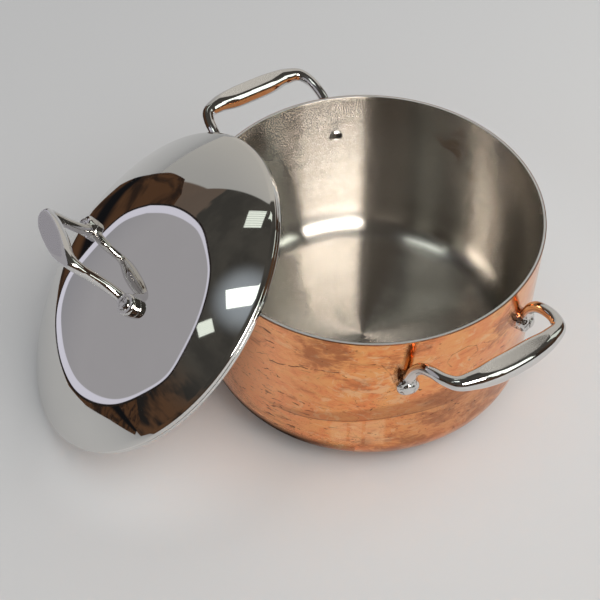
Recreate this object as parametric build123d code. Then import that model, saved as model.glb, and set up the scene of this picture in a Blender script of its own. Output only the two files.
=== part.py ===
from build123d import *
import math
import os

# Tri-ply cooking pot with two riveted loop handles and a domed lid that leans on its rim.
# Millimetres, +Z up, floor at z = 0, pot axis on Z, loop handles on +X and -X.

# Pot wall, from the inside out: steel liner, aluminium core, copper skin
POT_INNER_R = 120.0
STEEL_T = 0.5
CORE_T = 1.3
COPPER_T = 0.6
POT_H = 140.0
CORNER_R = 28.0
RIM_BREAK = 0.25

# Cast bosses that carry each handle and the rivets through them
BOSS_R = 7.75
BOSS_STAND = 8.0
BOSS_EDGE = 1.4
SHANK_R = 3.0
HEAD_R = 4.9
HEAD_H = 2.4
SEAT_R = 5.5
TAIL_R = 5.5
TAIL_H = 2.5

# Cast loop: a wide grip with a flat pad on top, tapering into round legs
GRIP_HALF_W = 8.6
GRIP_HALF_H = 6.8
PAD_RISE = 4.2
LEG_R = 3.9

# Side handles: rivet height, half the rivet spacing, reach and rise of the grip's middle
RIVET_Z = 102.0
RIVET_HALF = 49.7
GRIP_REACH = 37.1
GRIP_RISE = 36.6

# Lid: sheet, dome and the short skirt that goes over the pot's rim
LID_T = 0.9
LID_CLEARANCE = 1.1
LID_DOME_RISE = 40.0
SKIRT_H = 5.4
LID_CORNER_R = 0.8
LID_EDGE_R = 0.3
LID_RIVET_HALF = 50.7
LID_GRIP_RISE = 44.5

# Lean of the lid: where the rim catches it, sideways offset, heading, turn of its handle
LEAN_CATCH = 86.5
LEAN_GAP = 0.6
LEAN_SIDE = 6.6
LEAN_HEADING = 247.95
LID_SPIN = 16.8

# Cutters run this far past what they cut
PAST = 5.0

POT_OUTER_R = POT_INNER_R + STEEL_T + CORE_T + COPPER_T
LID_R = POT_OUTER_R + LID_CLEARANCE + LID_T
DOME_R = (LID_R**2 + LID_DOME_RISE**2) / (2 * LID_DOME_RISE)
DOME_CENTRE = LID_DOME_RISE - DOME_R
FOOT_R = POT_OUTER_R + BOSS_STAND / 2
FOOT_ANGLE = math.degrees(math.asin(RIVET_HALF / FOOT_R))

# Half loop from the middle of the grip to a foot, as shares of the reach, half width and
# rise between those two points, with the share of the grip's extra girth at each point
SIDE_ROUTE = [
    (1.000, 0.000, 1.000, 1.00),
    (0.989, 0.300, 1.004, 0.94),
    (0.943, 0.620, 1.008, 0.53),
    (0.845, 0.825, 0.978, 0.20),
    (0.668, 0.901, 0.929, 0.05),
    (0.445, 0.930, 0.855, 0.00),
    (0.262, 0.942, 0.738, 0.00),
    (0.115, 0.956, 0.533, 0.00),
    (0.030, 0.978, 0.273, 0.00),
    (0.000, 1.000, 0.080, 0.00),
]
LID_ROUTE = [
    (0.0, 0.000, 1.000, 1.00),
    (0.0, 0.174, 1.000, 0.97),
    (0.0, 0.368, 0.996, 0.75),
    (0.0, 0.514, 0.968, 0.42),
    (0.0, 0.612, 0.889, 0.17),
    (0.0, 0.665, 0.755, 0.04),
    (0.0, 0.684, 0.616, 0.00),
    (0.0, 0.705, 0.478, 0.00),
    (0.0, 0.734, 0.350, 0.00),
    (0.0, 0.771, 0.243, 0.00),
    (0.0, 0.814, 0.149, 0.00),
    (0.0, 0.864, 0.073, 0.00),
    (0.0, 0.930, 0.028, 0.00),
]
STATIONS = 18


def cup(inset):
    # solid cup whose outside lies this far inside the copper's outside
    r = POT_OUTER_R - inset
    corner = CORNER_R - inset
    slant = corner * math.sin(math.radians(45))
    with BuildSketch(Plane.XZ) as half:
        with BuildLine():
            flat_end = (r - corner, inset)
            wall_start = (r, inset + corner)
            Line((0, inset), flat_end)
            ThreePointArc(flat_end, (r - corner + slant, inset + corner - slant), wall_start)
            Polyline(wall_start, (r, POT_H), (0, POT_H), (0, inset))
        make_face()
    return revolve(half.sketch, Axis.Z)


def rod(plane, start, end, r):
    # cylinder on a plane's normal between two heights above the plane
    return plane.location * (Pos(0, 0, (start + end) / 2) * Cylinder(r, end - start))


def wall_foot(angle):
    # plane on the pot's axis at rivet height, its normal pointing out through one rivet
    a = math.radians(angle)
    return Plane(origin=(0, 0, RIVET_Z), x_dir=(0, 0, 1), z_dir=(math.cos(a), math.sin(a), 0))


def dome_foot(side):
    # plane at the dome's centre, its normal pointing out through one lid rivet
    a = math.asin(LID_RIVET_HALF / DOME_R)
    outward = (side * math.cos(a), 0, -math.sin(a))
    return Plane(origin=(0, 0, DOME_CENTRE), x_dir=outward, z_dir=(side * math.sin(a), 0, math.cos(a)))


def ply(outer, inner, edge_r):
    # one layer of the wall, its rim edge broken where a radius is given, with four rivet holes
    shell = outer - inner
    if edge_r:
        rim = shell.edges().filter_by(GeomType.CIRCLE).group_by(Axis.Z)[-1]
        shell = fillet([e for e in rim if abs(e.radius - edge_r) < COPPER_T / 2], RIM_BREAK)
    for angle in (FOOT_ANGLE, -FOOT_ANGLE, 180 - FOOT_ANGLE, 180 + FOOT_ANGLE):
        shell -= rod(wall_foot(angle), POT_INNER_R - PAST, POT_OUTER_R + PAST, SHANK_R)
    return shell


def loop(middle, foot, route):
    # lofted loop through ellipses, symmetric about y = 0, with the grip's flat pad cut on top
    half_points = []
    for out, across, up, swell in route:
        x = foot.X + (middle.X - foot.X) * out
        z = foot.Z + (middle.Z - foot.Z) * up
        half_points.append(Vector(x, foot.Y * across, z))
    mirrored = [Vector(p.X, -p.Y, p.Z) for p in half_points[:0:-1]]
    path = Spline(*mirrored, *half_points)
    half = []
    wide = Vector(1, 0, 0)
    for i in range(STATIONS + 1):
        along = 0.5 + 0.5 * i / STATIONS
        centre = path.position_at(along)
        heading = path.tangent_at(along)
        wide = (wide - heading * wide.dot(heading)).normalized()
        swell = swell_near(centre, half_points, route)
        half_w = LEG_R + (GRIP_HALF_W - LEG_R) * swell
        half_h = LEG_R + (GRIP_HALF_H - LEG_R) * swell
        half.append((centre, heading, wide, half_w, half_h))
    sections = []
    for centre, heading, wide, half_w, half_h in half[:0:-1]:
        at = Vector(centre.X, -centre.Y, centre.Z)
        facing = Vector(-heading.X, heading.Y, -heading.Z)
        across = Vector(wide.X, -wide.Y, wide.Z)
        sections.append(Plane(origin=at, x_dir=across, z_dir=facing) * Ellipse(half_w, half_h))
    for centre, heading, wide, half_w, half_h in half:
        sections.append(Plane(origin=centre, x_dir=wide, z_dir=heading) * Ellipse(half_w, half_h))
    body = loft([s.face() for s in sections])
    pad = Box(4 * GRIP_HALF_W, 2 * foot.Y, 2 * GRIP_HALF_H, align=(Align.CENTER, Align.CENTER, Align.MIN))
    return body - Pos(middle.X, 0, middle.Z + PAD_RISE) * pad


def swell_near(place, points, route):
    # girth share at the closest spot of the route's polyline, eased between its points
    nearest = None
    for k in range(len(points) - 1):
        run = points[k + 1] - points[k]
        share = (place - points[k]).dot(run) / run.dot(run)
        share = max(0.0, min(1.0, share))
        miss = (place - points[k] - run * share).length
        if nearest is None or miss < nearest[0]:
            nearest = (miss, k, share)
    k, share = nearest[1], nearest[2]
    eased = share * share * (3 - 2 * share)
    return route[k][3] + (route[k + 1][3] - route[k][3]) * eased


def add_boss(body, plane, base):
    # round boss standing on the wall or dome, with a flat seat for the rivet's head
    boss = rod(plane, base - PAST, base + BOSS_STAND, BOSS_R)
    ends = boss.edges().filter_by(GeomType.CIRCLE)
    face_edge = max(ends, key=lambda e: plane.to_local_coords(e.center()).Z)
    body += fillet(face_edge, BOSS_EDGE)
    return body - rod(plane, base + BOSS_STAND, base + BOSS_STAND + PAST, SEAT_R)


def side_handle():
    # cast loop on +X, seated on the copper
    angle = math.radians(FOOT_ANGLE)
    foot = Vector(FOOT_R * math.cos(angle), RIVET_HALF, RIVET_Z)
    middle = Vector(POT_OUTER_R + GRIP_REACH, 0, RIVET_Z + GRIP_RISE)
    body = loop(middle, foot, SIDE_ROUTE)
    for turn in (FOOT_ANGLE, -FOOT_ANGLE):
        body = add_boss(body, wall_foot(turn), POT_OUTER_R)
    body -= Pos(0, 0, POT_H / 2) * Cylinder(POT_OUTER_R, 2 * POT_H)
    for turn in (FOOT_ANGLE, -FOOT_ANGLE):
        body -= rod(wall_foot(turn), POT_INNER_R, POT_OUTER_R + BOSS_STAND + PAST, SHANK_R)
    return body


def lid_handle():
    # the same cast loop standing upright on the dome, its grip along X
    angle = math.asin(LID_RIVET_HALF / DOME_R)
    foot_r = DOME_R + BOSS_STAND / 2
    foot = Vector(0, foot_r * math.sin(angle), DOME_CENTRE + foot_r * math.cos(angle))
    middle = Vector(0, 0, LID_DOME_RISE + LID_GRIP_RISE)
    body = Rot(0, 0, -90) * loop(middle, foot, LID_ROUTE)
    for side in (1, -1):
        body = add_boss(body, dome_foot(side), DOME_R)
    body -= Pos(0, 0, DOME_CENTRE) * Rot(0, 0, 90) * Sphere(DOME_R)
    for side in (1, -1):
        body -= rod(dome_foot(side), DOME_R - PAST, DOME_R + BOSS_STAND + PAST, SHANK_R)
    return body


def ball_for(base_r, height):
    # radius of the ball whose cap has this base radius and height
    return (base_r**2 + height**2) / (2 * height)


def side_rivet(angle):
    # shank through wall and boss, domed head outside, domed tail against the steel
    plane = wall_foot(angle)
    seat = POT_OUTER_R + BOSS_STAND
    head_ball = ball_for(HEAD_R, HEAD_H)
    head = Pos(0, 0, seat + HEAD_H - head_ball) * Sphere(head_ball)
    head &= Pos(0, 0, seat + HEAD_H) * Box(2 * HEAD_R, 2 * HEAD_R, 2 * HEAD_H)
    tail_ball = ball_for(TAIL_R, TAIL_H)
    tail = plane.location * (Pos(0, 0, POT_INNER_R - TAIL_H + tail_ball) * Sphere(tail_ball))
    tail &= Pos(0, 0, RIVET_Z) * Cylinder(POT_INNER_R, 4 * TAIL_R)
    shank = rod(plane, POT_INNER_R - TAIL_H / 2, seat + HEAD_H / 2, SHANK_R)
    return shank + plane.location * head + tail


def arc_mid(r, centre, from_r, to_r):
    # point of an arc about the axis, half way in angle between two radii
    a = (math.asin(from_r / r) + math.asin(to_r / r)) / 2
    return (r * math.sin(a), centre + r * math.cos(a))


def lid_rivet(side):
    # turned profile on the foot's axis: tail under the sheet, shank, head on the boss
    seat = DOME_R + BOSS_STAND
    under = DOME_R - LID_T
    tail_ball = ball_for(TAIL_R, TAIL_H)
    head_ball = ball_for(HEAD_R, HEAD_H)
    lip = math.sqrt(under**2 - TAIL_R**2)
    neck = math.sqrt(under**2 - SHANK_R**2)
    tail_centre = lip + math.sqrt(tail_ball**2 - TAIL_R**2)
    tail_mid_x, tail_mid_z = arc_mid(tail_ball, 0, 0, TAIL_R)
    bottom = (0, tail_centre - tail_ball)
    top = (0, seat + HEAD_H)
    with BuildSketch(Plane.XZ) as half:
        with BuildLine():
            ThreePointArc(bottom, (tail_mid_x, tail_centre - tail_mid_z), (TAIL_R, lip))
            ThreePointArc((TAIL_R, lip), arc_mid(under, 0, SHANK_R, TAIL_R), (SHANK_R, neck))
            Polyline((SHANK_R, neck), (SHANK_R, seat), (HEAD_R, seat))
            ThreePointArc((HEAD_R, seat), arc_mid(head_ball, seat + HEAD_H - head_ball, 0, HEAD_R), top)
            Line(top, bottom)
        make_face()
    return dome_foot(side).location * revolve(half.sketch, Axis.Z)


def lid_blank(r, dome, corner, bottom):
    # solid of a dome over a straight skirt, rounded where they meet
    meet = DOME_CENTRE + math.sqrt(dome**2 - r**2)
    with BuildSketch(Plane.XZ) as half:
        with BuildLine():
            top = (0, DOME_CENTRE + dome)
            ThreePointArc(top, arc_mid(dome, DOME_CENTRE, 0, r), (r, meet))
            Polyline((r, meet), (r, bottom), (0, bottom), top)
        make_face()
        shoulder = min(half.vertices(), key=lambda v: math.hypot(v.X - r, v.Y - meet))
        fillet(shoulder, corner)
    return revolve(half.sketch, Axis.Z)


def lid_shell():
    # domed sheet with its skirt, rounded at the skirt's edge and bored for two rivets
    outside = lid_blank(LID_R, DOME_R, LID_CORNER_R + LID_T, -SKIRT_H)
    inside = lid_blank(LID_R - LID_T, DOME_R - LID_T, LID_CORNER_R, -SKIRT_H - PAST)
    shell = outside - inside
    skirt_edges = shell.edges().filter_by(GeomType.CIRCLE).group_by(Axis.Z)[0]
    shell = fillet(skirt_edges, LID_EDGE_R)
    for side in (1, -1):
        shell -= rod(dome_foot(side), DOME_R - PAST, DOME_R + PAST, SHANK_R)
    return shell


def lean_plane():
    # the lid stands on the floor and its skirt's lower edge catches the pot's rim at two points
    arm = LID_R - LID_EDGE_R + LEAN_CATCH
    tilt = math.asin((POT_H - LID_EDGE_R) / math.hypot(arm, LID_EDGE_R)) + math.atan2(LID_EDGE_R, arm)
    rim_half = math.sqrt((LID_R - LID_T) ** 2 - LEAN_CATCH**2) - LEAN_SIDE - LEAN_GAP
    rim_out = math.sqrt(POT_OUTER_R**2 - rim_half**2)
    out = rim_out + LEAN_CATCH * math.cos(tilt) + SKIRT_H * math.sin(tilt)
    up = POT_H - LEAN_CATCH * math.sin(tilt) + SKIRT_H * math.cos(tilt)
    heading = math.radians(LEAN_HEADING)
    away = Vector(math.cos(heading), math.sin(heading), 0)
    level = Vector(-math.sin(heading), math.cos(heading), 0)
    normal = away * math.sin(tilt) + Vector(0, 0, 1) * math.cos(tilt)
    uphill = normal.cross(level)
    spin = math.radians(LID_SPIN)
    origin = away * out - level * LEAN_SIDE + Vector(0, 0, up)
    return Plane(origin=origin, x_dir=level * math.cos(spin) + uphill * math.sin(spin), z_dir=normal)


copper_solid = cup(0)
core_solid = cup(COPPER_T)
steel_solid = cup(COPPER_T + CORE_T)
hollow = cup(COPPER_T + CORE_T + STEEL_T)

pieces = {
    "copper_shell": ply(copper_solid, core_solid, POT_OUTER_R),
    "aluminium_core": ply(core_solid, steel_solid, None),
    "steel_liner": ply(steel_solid, hollow, POT_INNER_R),
}

right = side_handle()
pieces["right_handle"] = right
pieces["left_handle"] = Rot(0, 0, 180) * right
for side_name, side_angle, front in (("right", 0, -1), ("left", 180, 1)):
    pieces[side_name + "_front_rivet"] = side_rivet(side_angle + front * FOOT_ANGLE)
    pieces[side_name + "_back_rivet"] = side_rivet(side_angle - front * FOOT_ANGLE)

lean = lean_plane().location
pieces["lid_shell"] = lean * lid_shell()
pieces["lid_handle"] = lean * lid_handle()
pieces["lid_left_rivet"] = lean * lid_rivet(-1)
pieces["lid_right_rivet"] = lean * lid_rivet(1)

os.makedirs("parts", exist_ok=True)
for name, shape in pieces.items():
    solid = shape.solid()
    solid.label = name
    export_step(solid, "parts/" + name + ".step")
    print(name, "volume", round(solid.volume, 1), "valid", solid.is_valid)
print("lid plane", lean_plane())
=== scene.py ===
import math

import bmesh
import bpy
import numpy as np
from mathutils import Matrix, Quaternion, Vector
from mathutils.kdtree import KDTree


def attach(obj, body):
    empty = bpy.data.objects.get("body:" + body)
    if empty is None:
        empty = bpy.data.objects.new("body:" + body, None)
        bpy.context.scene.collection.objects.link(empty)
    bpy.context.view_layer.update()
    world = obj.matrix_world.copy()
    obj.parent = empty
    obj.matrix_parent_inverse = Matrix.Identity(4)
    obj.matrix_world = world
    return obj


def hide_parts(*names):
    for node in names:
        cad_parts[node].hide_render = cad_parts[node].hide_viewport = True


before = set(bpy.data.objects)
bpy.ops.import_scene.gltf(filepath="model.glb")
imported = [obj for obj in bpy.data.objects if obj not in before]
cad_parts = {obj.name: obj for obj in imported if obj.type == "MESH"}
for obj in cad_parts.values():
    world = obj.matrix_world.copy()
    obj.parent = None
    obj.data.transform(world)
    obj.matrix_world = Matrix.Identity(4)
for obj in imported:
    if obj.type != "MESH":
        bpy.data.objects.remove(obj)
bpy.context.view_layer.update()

MM = 0.001

# Pot wall, in millimetres, from the inside out, as the frame has it
POT_INNER_R = 120.0
LINER_R = 120.5
CORE_R = 121.8
POT_OUTER_R = 122.4
POT_H = 140.0
CORNER_R = 28.0
RIM_BREAK = 0.25

# Lid sheet, in its own frame: x along its handle, z up its axis, zero where dome meets skirt
LID_R = 124.4
LID_T = 0.9
LID_RISE = 40.0
LID_SKIRT = 5.4
LID_SHOULDER_R = 1.7
LID_SHOULDER_Z = -1.15
LID_HEM_R = 0.3
LID_ORIGIN = Vector((-66.2011, -145.862, 86.5646))
LID_ALONG = Vector((0.968393, -0.159179, 0.192035))
LID_UP = Vector((-0.249429, -0.61581, 0.747371))
DOME_R = (LID_R**2 + LID_RISE**2) / (2 * LID_RISE)
DOME_CENTRE = LID_RISE - DOME_R

# Groove in the lid's skirt: its height, half its width, and radius and shift of the arc that cuts it
GROOVE_Z = -2.9
GROOVE_HALF = 0.35
GROOVE_R = 0.36
GROOVE_OUT = 0.1

# Height of the lid handle's flat pad above the lid's own zero plane
LID_PAD_H = 88.7

# Steps along the turned profiles, and segments round them
WALL_STEPS = 48
CORNER_STEPS = 28
BREAK_STEPS = 4
HIDDEN_STEPS = 4
COPPER_FLOOR_STEPS = 12
LINER_FLOOR_STEPS = 24
DOME_STEPS = 96
UNDERSIDE_STEPS = 64
POT_SEGMENTS = 256
LID_SEGMENTS = 320

# Angle in degrees from which an edge stays sharp, and radius under which a point is on the axis
SHARP_ANGLE = 50
ON_AXIS = 1e-6

# Camera: the photograph's angle, distance and lens
CAMERA_AZIMUTH = 57.4
CAMERA_ELEVATION = 49.19
CAMERA_ROLL = -0.48
CAMERA_DISTANCE = 899.9
CAMERA_TARGET = (-21.186, -44.369, 50.0)
CAMERA_LENS = 72.0
CAMERA_SENSOR = 36.0
CAMERA_CLIP = (0.05, 50.0)


def link(obj):
    bpy.context.scene.collection.objects.link(obj)
    return obj


def mesh_object(name, vertices, faces):
    mesh = bpy.data.meshes.new(name)
    mesh.from_pydata(vertices, [], faces)
    mesh.update()
    return link(bpy.data.objects.new(name, mesh))


def placed(origin, along, across, up):
    # matrix to an origin in metres, with the axes turned to three directions
    return Matrix.Translation(origin) @ Matrix((along, across, up)).transposed().to_4x4()


LID_PLACE = placed(LID_ORIGIN * MM, LID_ALONG, LID_UP.cross(LID_ALONG), LID_UP)


# Profiles of revolution, as lists of radius and height in millimetres


def run(start, end, steps):
    # straight run, without its last point
    return [tuple(s + (e - s) * k / steps for s, e in zip(start, end)) for k in range(steps)]


def bend(centre, radius, start, end, steps):
    # arc about a centre between two angles in degrees, without its last point
    points = []
    for k in range(steps):
        a = math.radians(start + (end - start) * k / steps)
        points.append((centre[0] + radius * math.cos(a), centre[1] + radius * math.sin(a)))
    return points


def lathe(name, profile, segments, place=None):
    # turned solid, from a profile that starts and ends on the axis
    turns = [2 * math.pi * k / segments for k in range(segments)]
    bm = bmesh.new()
    rings = []
    for radius, height in profile:
        r = radius * MM
        z = height * MM
        if radius < ON_AXIS:
            rings.append([bm.verts.new((0, 0, z))])
        else:
            rings.append([bm.verts.new((r * math.cos(a), r * math.sin(a), z)) for a in turns])
    for low, high in zip(rings, rings[1:]):
        for k in range(segments):
            n = (k + 1) % segments
            if len(low) == 1:
                bm.faces.new((low[0], high[n], high[k]))
            elif len(high) == 1:
                bm.faces.new((low[k], low[n], high[0]))
            else:
                bm.faces.new((low[k], low[n], high[n], high[k]))
    bmesh.ops.recalc_face_normals(bm, faces=bm.faces)
    mesh = bpy.data.meshes.new(name)
    bm.to_mesh(mesh)
    bm.free()
    if place is not None:
        mesh.transform(place)
    mesh.shade_smooth()
    mesh.set_sharp_from_angle(angle=math.radians(SHARP_ANGLE))
    return link(bpy.data.objects.new(name, mesh))


def ply_profile(shown, hidden, floor_steps):
    # one ply, given by its two wall radii: along the side that shows, over the rim and back
    way = 1 if shown > hidden else -1
    corner = (POT_OUTER_R - CORNER_R, CORNER_R)
    shown_floor = POT_OUTER_R - shown
    hidden_floor = POT_OUTER_R - hidden
    break_r = shown - way * RIM_BREAK
    break_z = POT_H - RIM_BREAK
    points = run((0, shown_floor), (corner[0], shown_floor), floor_steps)
    points += bend(corner, CORNER_R - shown_floor, -90, 0, CORNER_STEPS)
    points += run((shown, CORNER_R), (shown, break_z), WALL_STEPS)
    points += bend((break_r, break_z), RIM_BREAK, 90 - way * 90, 90, BREAK_STEPS)
    points += run((break_r, POT_H), (hidden, POT_H), 1)
    points += run((hidden, POT_H), (hidden, CORNER_R), HIDDEN_STEPS)
    points += bend(corner, CORNER_R - hidden_floor, 0, -90, CORNER_STEPS // 2)
    points += run((corner[0], hidden_floor), (0, hidden_floor), HIDDEN_STEPS)
    return points + [(0, hidden_floor)]


def lid_profile():
    # outside from the crown to the skirt's hem with its fine groove, then back up inside
    shoulder = (LID_R - LID_SHOULDER_R, LID_SHOULDER_Z)
    edge = math.degrees(math.atan2(shoulder[1] - DOME_CENTRE, shoulder[0]))
    inner_r = LID_R - LID_T
    hem_z = -LID_SKIRT + LID_HEM_R
    points = bend((0, DOME_CENTRE), DOME_R, 90, edge, DOME_STEPS)
    points += bend(shoulder, LID_SHOULDER_R, edge, 0, 10)
    points += run((LID_R, shoulder[1]), (LID_R, GROOVE_Z + GROOVE_HALF), 3)
    points += bend((LID_R + GROOVE_OUT, GROOVE_Z), GROOVE_R, 105, 255, 6)
    points += run((LID_R, GROOVE_Z - GROOVE_HALF), (LID_R, hem_z), 3)
    points += bend((LID_R - LID_HEM_R, hem_z), LID_HEM_R, 0, -90, 4)
    points += bend((inner_r + LID_HEM_R, hem_z), LID_HEM_R, -90, -180, 4)
    points += run((inner_r, hem_z), (inner_r, shoulder[1]), 4)
    points += bend(shoulder, LID_SHOULDER_R - LID_T, 0, edge, 6)
    points += bend((0, DOME_CENTRE), DOME_R - LID_T, edge, 90, UNDERSIDE_STEPS)
    return points + [(0, DOME_CENTRE + DOME_R - LID_T)]


# Casting: grain of the fused mesh in millimetres, rounds and share of each filling and softening
CAST_VOXEL = 0.5
CREASE_ROUNDS = 34
CREASE_SHARE = 0.5
SOFTEN_ROUNDS = 9
SOFTEN_SHARE = 0.5


def fill_creases(mesh):
    # grows metal into sharp inner corners, as a casting has, and leaves outer edges alone
    count = len(mesh.vertices)
    at = np.empty(count * 3)
    mesh.vertices.foreach_get("co", at)
    at = at.reshape(-1, 3)
    edges = np.empty(len(mesh.edges) * 2, dtype=np.int64)
    mesh.edges.foreach_get("vertices", edges)
    edges = edges.reshape(-1, 2)
    degree = np.bincount(edges.ravel(), minlength=count)
    for _ in range(CREASE_ROUNDS):
        total = np.zeros_like(at)
        for axis in range(3):
            for end, other in ((0, 1), (1, 0)):
                weights = at[edges[:, other], axis]
                total[:, axis] += np.bincount(edges[:, end], weights=weights, minlength=count)
        pull = total / degree[:, None] - at
        normals = np.empty(count * 3)
        mesh.vertex_normals.foreach_get("vector", normals)
        normals = normals.reshape(-1, 3)
        outward = np.clip(np.sum(pull * normals, axis=1), 0, None)
        at += normals * outward[:, None] * CREASE_SHARE
        mesh.vertices.foreach_set("co", at.ravel())
        mesh.update()


def apply_modifiers(obj):
    graph = bpy.context.evaluated_depsgraph_get()
    mesh = bpy.data.meshes.new_from_object(obj.evaluated_get(graph))
    obj.modifiers.clear()
    obj.data = mesh
    return mesh


# Cast loops: their bosses, legs, rivet places and reach, in millimetres
BOSS_R = 7.75
BOSS_STAND = 8.0
BOSS_EDGE = 2.3
LEG_R = 3.9
RIVET_Z = 102.0
RIVET_HALF = 49.7
GRIP_REACH = 37.1
GRIP_RISE = 36.6
LID_RIVET_HALF = 50.7
LID_GRIP_RISE = 44.5
# How deep the bosses go under the surface that carries them, on the pot and on the lid
POT_SUNK = 1.0
LID_SUNK = 0.5
# Points round a loop and round a boss, and the radius that stands for a boss's axis
LOOP_AROUND = 56
BOSS_AROUND = 64
POINT_R = 0.01
# Marked flat: least height cut off, depth under it, and how softly it fades downwards and sideways
FLAT_LEAST = 0.05
FLAT_DEPTH = 0.30
FLAT_FADE = 0.15
FLAT_SIDE_FADE = 0.5
# Marked boss: reach over its face, and the width of its faded edge
BOSS_OVER = 4.0
BOSS_FADE = 1.2
# How rugged the skin of the bosses is, on the pot and on the lid
POT_RUGGED = 1.0
LID_RUGGED = 0.12

# Routes from the middle of the grip to a foot: shares of reach, half width, rise and extra girth
SIDE_ROUTE = [
    (1.000, 0.000, 1.000, 1.00),
    (0.989, 0.300, 1.004, 0.94),
    (0.943, 0.620, 1.008, 0.53),
    (0.845, 0.825, 0.978, 0.20),
    (0.668, 0.901, 0.929, 0.05),
    (0.445, 0.930, 0.855, 0.00),
    (0.262, 0.942, 0.738, 0.00),
    (0.115, 0.956, 0.533, 0.00),
    (0.030, 0.978, 0.273, 0.00),
    (0.000, 1.000, 0.080, 0.00),
]
LID_ROUTE = [
    (0.0, 0.000, 1.000, 1.00),
    (0.0, 0.174, 1.000, 0.97),
    (0.0, 0.368, 0.996, 0.75),
    (0.0, 0.514, 0.968, 0.42),
    (0.0, 0.612, 0.889, 0.17),
    (0.0, 0.665, 0.755, 0.04),
    (0.0, 0.684, 0.616, 0.00),
    (0.0, 0.705, 0.478, 0.00),
    (0.0, 0.734, 0.350, 0.00),
    (0.0, 0.771, 0.243, 0.00),
    (0.0, 0.814, 0.149, 0.00),
    (0.0, 0.864, 0.073, 0.00),
    (0.0, 0.930, 0.028, 0.00),
]
# Half width, half height, shift inward, shift down, height of the flat, its climb to the ends
SIDE_SECTION = (8.6, 8.0, 1.7, 2.3, 4.2, 1.9)
LID_SECTION = (8.6, 7.2, 0.0, 0.4, 4.2, 1.4)


def smooth_through(points, count):
    # cubic through points of any number of values, evenly spaced along its chords
    points = np.array(points, dtype=float)
    gaps = np.linalg.norm(np.diff(points[:, :3], axis=0), axis=1)
    at = np.concatenate([[0.0], np.cumsum(gaps)])
    slopes = np.gradient(points, at, axis=0)
    t = np.linspace(0.0, at[-1], count)
    k = np.clip(np.searchsorted(at, t) - 1, 0, len(at) - 2)
    h = (at[k + 1] - at[k])[:, None]
    x = (t[:, None] - at[k][:, None]) / h
    start = (2 * x**3 - 3 * x**2 + 1) * points[k] + (x**3 - 2 * x**2 + x) * h * slopes[k]
    return start + (3 * x**2 - 2 * x**3) * points[k + 1] + (x**3 - x**2) * h * slopes[k + 1]


def loop_stations(middle, foot, route, section, count=150):
    # centre, wide way, upper way, girths and flat of each section, foot to foot
    half = []
    for out, across, up, swell in route:
        x = foot[0] + (middle[0] - foot[0]) * out
        z = foot[2] + (middle[2] - foot[2]) * up
        half.append((x, foot[1] * across, z, swell))
    mirrored = [(x, -y, z, swell) for x, y, z, swell in half[:0:-1]]
    line = smooth_through(mirrored + half, 2 * count + 1)
    heading = np.gradient(line[:, :3], axis=0)
    heading /= np.linalg.norm(heading, axis=1)[:, None]
    half_w, half_h, inward, down, flat, climb = section
    stations = [None] * len(line)
    for way in (1, -1):
        wide = np.array([1.0, 0.0, 0.0])
        k = count
        while 0 <= k < len(line):
            wide = wide - heading[k] * wide.dot(heading[k])
            wide /= np.linalg.norm(wide)
            upper = np.cross(wide, heading[k])
            swell = min(max(line[k, 3], 0.0), 1.0)
            centre = line[k, :3] - wide * inward * swell - upper * down * swell
            a = LEG_R + (half_w - LEG_R) * swell
            b = LEG_R + (half_h - LEG_R) * swell
            top = flat + climb * (1 - swell) + down * swell
            stations[k] = (centre, wide, upper, a, b, top)
            k += way
    return stations


def tube_faces(rings, around):
    # quads between neighbouring rings of points
    faces = []
    for k in range(rings - 1):
        low = k * around
        high = low + around
        for j in range(around):
            n = (j + 1) % around
            faces.append((low + j, low + n, high + n, high + j))
    return faces


def sweep(stations):
    # closed tube through the sections of a loop
    vertices = []
    for centre, wide, upper, a, b, top in stations:
        for t in np.linspace(0, 2 * math.pi, LOOP_AROUND, endpoint=False):
            level = min(b * math.sin(t), top)
            vertices.append(centre + wide * a * math.cos(t) + upper * level)
    last = (len(stations) - 1) * LOOP_AROUND
    ends = [tuple(range(LOOP_AROUND - 1, -1, -1)), tuple(range(last, last + LOOP_AROUND))]
    return vertices, tube_faces(len(stations), LOOP_AROUND) + ends


def boss(axis, base, sunk):
    # round boss on an axis, from a little under its seat, with a rounded face edge
    side = np.cross(axis, (0.0, 1.0, 0.0))
    side /= np.linalg.norm(side)
    other = np.cross(axis, side)
    face_r = BOSS_R - BOSS_EDGE
    profile = [(0.0, -sunk)] + run((BOSS_R, -sunk), (BOSS_R, BOSS_STAND - BOSS_EDGE), 6)
    profile += bend((face_r, BOSS_STAND - BOSS_EDGE), BOSS_EDGE, 0, 90, 8)
    profile += [(face_r, BOSS_STAND), (0.0, BOSS_STAND)]
    vertices = []
    for r, h in profile:
        for j in range(BOSS_AROUND):
            t = 2 * math.pi * j / BOSS_AROUND
            outward = side * math.cos(t) + other * math.sin(t)
            vertices.append(base + axis * h + outward * max(r, POINT_R))
    return vertices, tube_faces(len(profile), BOSS_AROUND)


def cast_loop(name, stations, feet, sunk, place, rugged):
    # loop and bosses fused at a fine even grain, necks filled, then evened out
    vertices, faces = sweep(stations)
    for axis, base in feet:
        more, sides = boss(axis, base, sunk)
        faces += [tuple(i + len(vertices) for i in face) for face in sides]
        vertices += more
    loop = mesh_object(name, [tuple(v * MM) for v in vertices], faces)
    remesh = loop.modifiers.new("even", "REMESH")
    remesh.mode = "VOXEL"
    remesh.voxel_size = CAST_VOXEL * MM
    fill_creases(apply_modifiers(loop))
    soften = loop.modifiers.new("soften", "SMOOTH")
    soften.factor = SOFTEN_SHARE
    soften.iterations = SOFTEN_ROUNDS
    mesh = apply_modifiers(loop)
    mark_flat(mesh, stations)
    mark_bosses(mesh, feet, rugged)
    mesh.transform(place)
    mesh.shade_smooth()
    return loop


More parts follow.
